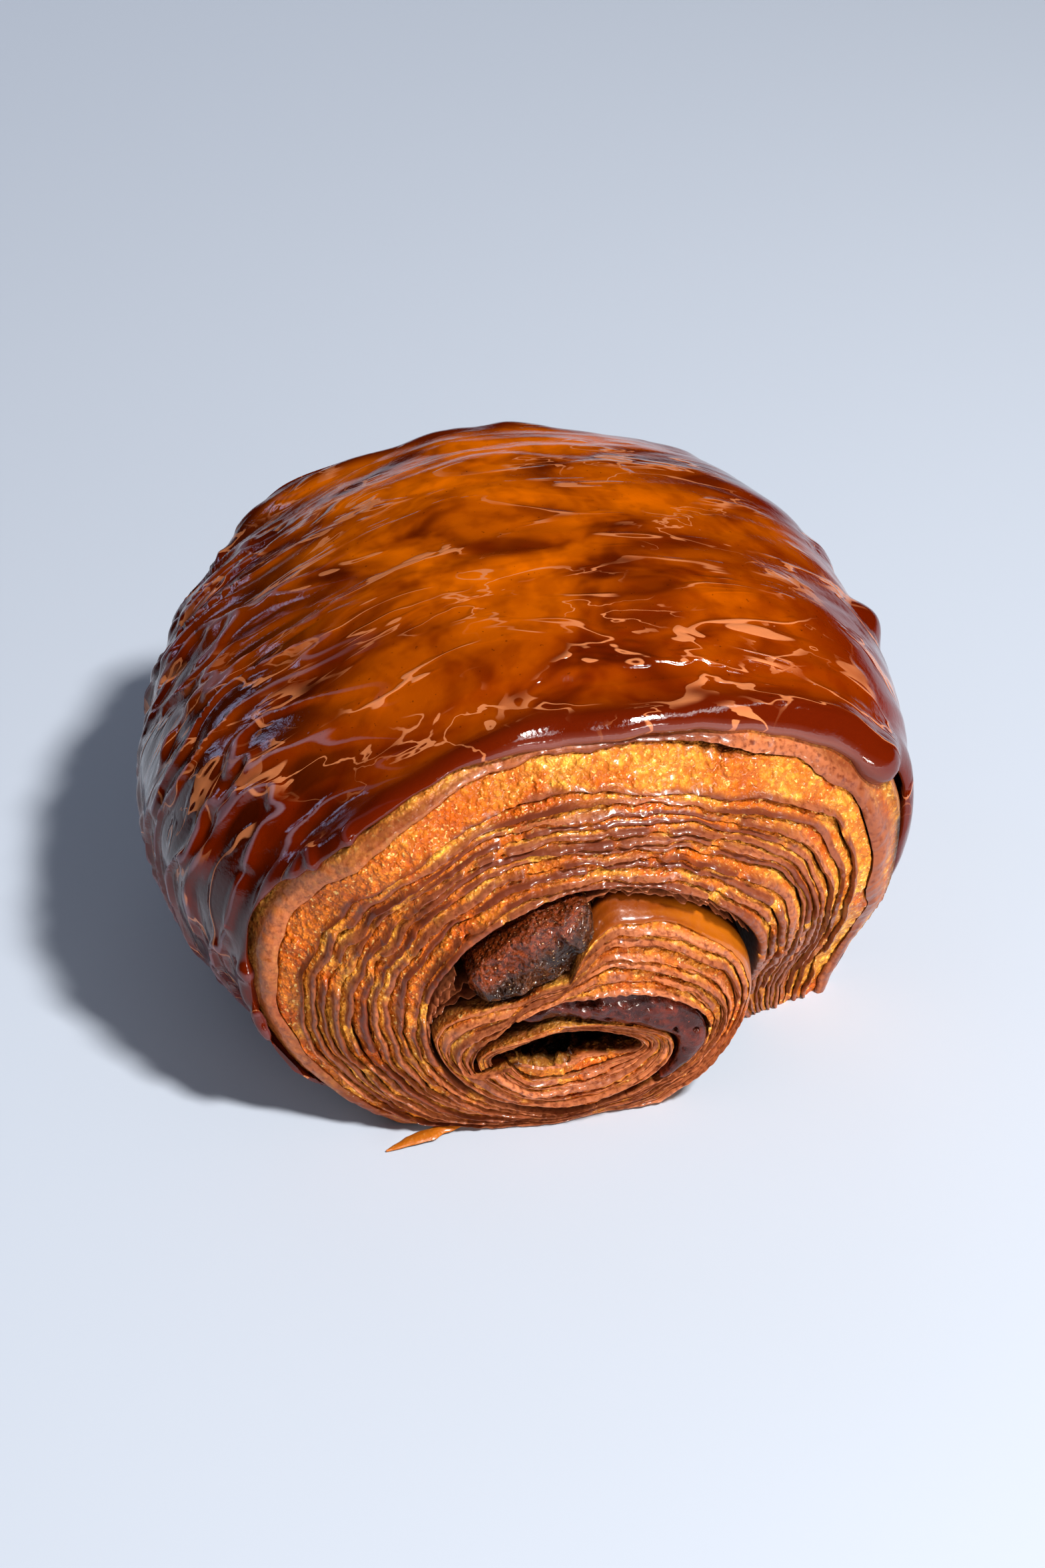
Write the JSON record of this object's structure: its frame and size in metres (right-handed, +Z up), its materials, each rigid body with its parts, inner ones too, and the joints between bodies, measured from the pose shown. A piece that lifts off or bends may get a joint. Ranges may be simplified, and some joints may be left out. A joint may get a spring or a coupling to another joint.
{
  "type": "chocolate croissant",
  "caption": "Baked chocolate croissant: a laminated dough sheet rolled round dark chocolate sticks, with a glazed domed crust and open spiral ends.",
  "frame": {"origin": "middle of the pastry's bounding box, at the level of the table it stands on", "axes": "+Z up, +Y along the roll from the shown spiral end to the far one, +X towards the side where the sheet ends on the table"},
  "size_m": [0.0913, 0.0924, 0.0559],
  "materials": {
    "glazed_pastry": "browned dough, glossy syrup glaze on the crust and satin layer edges at the ends",
    "dark_chocolate": "baked dark chocolate, rough and granular on the upper stick and smooth on the lower one"
  },
  "bodies": {
    "root": {"pastry": "glazed_pastry", "chocolate_stick_upper": "dark_chocolate", "chocolate_stick_lower": "dark_chocolate"}
  },
  "joints": []
}
